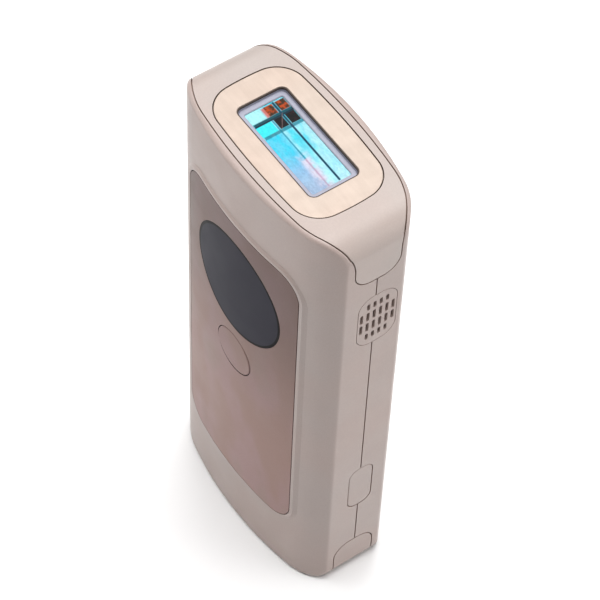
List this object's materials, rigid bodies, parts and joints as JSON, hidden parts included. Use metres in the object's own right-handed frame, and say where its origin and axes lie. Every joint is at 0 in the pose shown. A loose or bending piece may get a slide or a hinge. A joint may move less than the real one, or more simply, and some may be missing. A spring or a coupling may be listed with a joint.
{
  "type": "ipl hair remover",
  "caption": "Box-shaped hand-held light-pulse hair remover with a flash window on top, a round display and flash button on a tinted front panel, and vents on both narrow sides.",
  "frame": {"origin": "centre of the underside, on the axis of the DC inlet", "axes": "+Z from the underside to the flash window, -Y out of the front panel, +X to the side with the mode button"},
  "size_m": [0.0676, 0.0353, 0.1555],
  "materials": {
    "shell": "fine satin moulded beige",
    "cap": "fine satin moulded pale beige",
    "panel": "tinted rose-brown lacquer",
    "plate": "champagne anodised",
    "window": "grey heat-resistant plastic",
    "filter": "coated optical glass",
    "display": "smoked acrylic",
    "diffuser": "milky light guide",
    "circuit": "solder-mask laminate",
    "black_plastic": "black moulded plastic",
    "ceramic_plastic": "off-white heat-resistant plastic",
    "silicone": "grey silicone",
    "seal": "black silicone",
    "mirror_metal": "polished aluminium",
    "lamp": "clear quartz",
    "steel": "zinc-plated steel",
    "alloy": "extruded aluminium",
    "sleeve": "shrink sleeve",
    "ferrite": "sintered ferrite",
    "winding": "yellow tape over copper",
    "wire": "insulated wire"
  },
  "bodies": {
    "body": {"front_shell": "shell", "rear_shell": "shell", "top_cap": "cap", "bottom_cap": "shell", "contact_plate": "plate", "window_frame": "window", "window_seal": "seal", "filter_glass": "filter", "head_gasket": "silicone", "front_panel": "panel", "display_lens": "display", "display_diffuser": "diffuser", "display_board": "circuit", "flash_switch": "black_plastic", "mode_switch": "black_plastic", "mode_board": "circuit", "vent_grille_right": "shell", "vent_grille_left": "shell", "lamp_housing": "ceramic_plastic", "reflector": "mirror_metal", "flash_lamp": "lamp", "lamp_end_caps": "ceramic_plastic", "trigger_wire": "steel", "head_screws": "steel", "heat_sink": "alloy", "fan_frame": "black_plastic", "fan_cover": "black_plastic", "main_board": "circuit", "capacitor": "sleeve", "capacitor_cradle": "black_plastic", "transformer_core": "ferrite", "transformer_winding": "winding", "power_switch": "black_plastic", "board_components": "black_plastic", "dc_jack": "black_plastic", "dc_jack_pin": "steel", "jack_leads": "wire", "lamp_leads": "wire", "shell_screws": "steel"},
    "flash_button": {"flash_button": "panel", "flash_plunger": "black_plastic"},
    "mode_button": {"mode_button": "shell", "mode_plunger": "black_plastic"},
    "fan": {"fan_rotor": "black_plastic", "fan_shaft": "steel"}
  },
  "joints": [
    {"name": "flash_press", "type": "slide", "parent": "body", "child": "flash_button", "axis": [0, 1, 0], "range_m": [0, 0.0005], "stiffness_N_per_m": 1500, "springref_m": -0.0008},
    {"name": "mode_press", "type": "slide", "parent": "body", "child": "mode_button", "axis": [-1, 0, 0], "range_m": [0, 0.0005], "stiffness_N_per_m": 1500, "springref_m": -0.0008},
    {"name": "fan_spin", "type": "hinge", "parent": "body", "child": "fan", "pos_m": [0, -0.003, 0.098], "axis": [0, 1, 0], "continuous": true}
  ]
}
